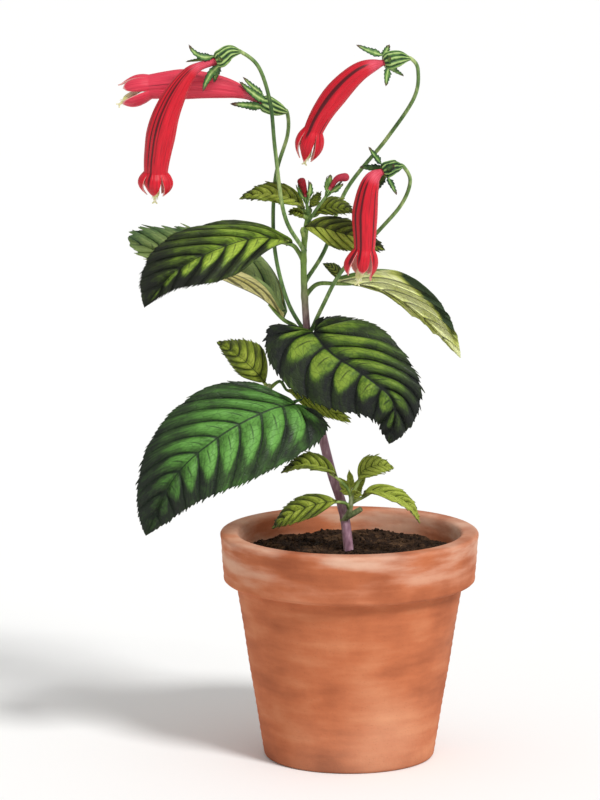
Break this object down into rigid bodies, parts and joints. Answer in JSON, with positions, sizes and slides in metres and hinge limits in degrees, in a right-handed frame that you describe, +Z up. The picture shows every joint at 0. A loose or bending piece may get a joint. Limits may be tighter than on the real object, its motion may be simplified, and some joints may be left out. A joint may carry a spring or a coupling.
{
  "type": "potted siphocampylus coccineus",
  "caption": "Flowering house plant in a plain clay pot, with toothed leaves on a leaning stem and scarlet tubular flowers hanging from arching stalks.",
  "frame": {"origin": "centre of the pot's foot, on the surface that it stands on", "axes": "+Z up along the pot's axis; the plant is seen from -Y, with +X to the right"},
  "size_m": [0.1373, 0.1, 0.2815],
  "materials": {
    "clay": "matte",
    "soil": "matte",
    "stem": "satin",
    "branch": "satin",
    "leaf": "satin",
    "young_leaf": "satin",
    "petal": "satin",
    "pale_petal": "satin",
    "anther": "matte"
  },
  "bodies": {
    "root": {"pot": "clay", "soil": "soil", "main_stem": "stem", "side_shoot": "branch", "base_shoot": "branch", "leaf_low_left": "leaf", "leaf_front_right": "leaf", "leaf_mid_left": "leaf", "leaf_back_left": "leaf", "leaf_right_arching": "leaf", "leaf_top_right": "young_leaf", "leaf_top_left": "young_leaf", "leaf_top_folded": "young_leaf", "leaf_top_young": "young_leaf", "leaf_tip": "young_leaf", "leaf_side_left": "young_leaf", "leaf_side_right": "young_leaf", "leaf_base_upper_left": "young_leaf", "leaf_base_lower_left": "young_leaf", "leaf_base_upper_right": "young_leaf", "leaf_base_lower_right": "young_leaf", "flower_1_stalk_and_calyx": "branch", "flower_1_corolla": "petal", "flower_1_stamens": "anther", "flower_2_stalk_and_calyx": "branch", "flower_2_corolla": "pale_petal", "flower_2_stamens": "anther", "flower_3_stalk_and_calyx": "branch", "flower_3_corolla": "petal", "flower_3_stamens": "anther", "flower_4_stalk_and_calyx": "branch", "flower_4_corolla": "petal", "flower_4_stamens": "anther", "bud_1_calyx": "branch", "bud_1": "petal", "bud_2_calyx": "branch", "bud_2": "petal"}
  },
  "joints": []
}
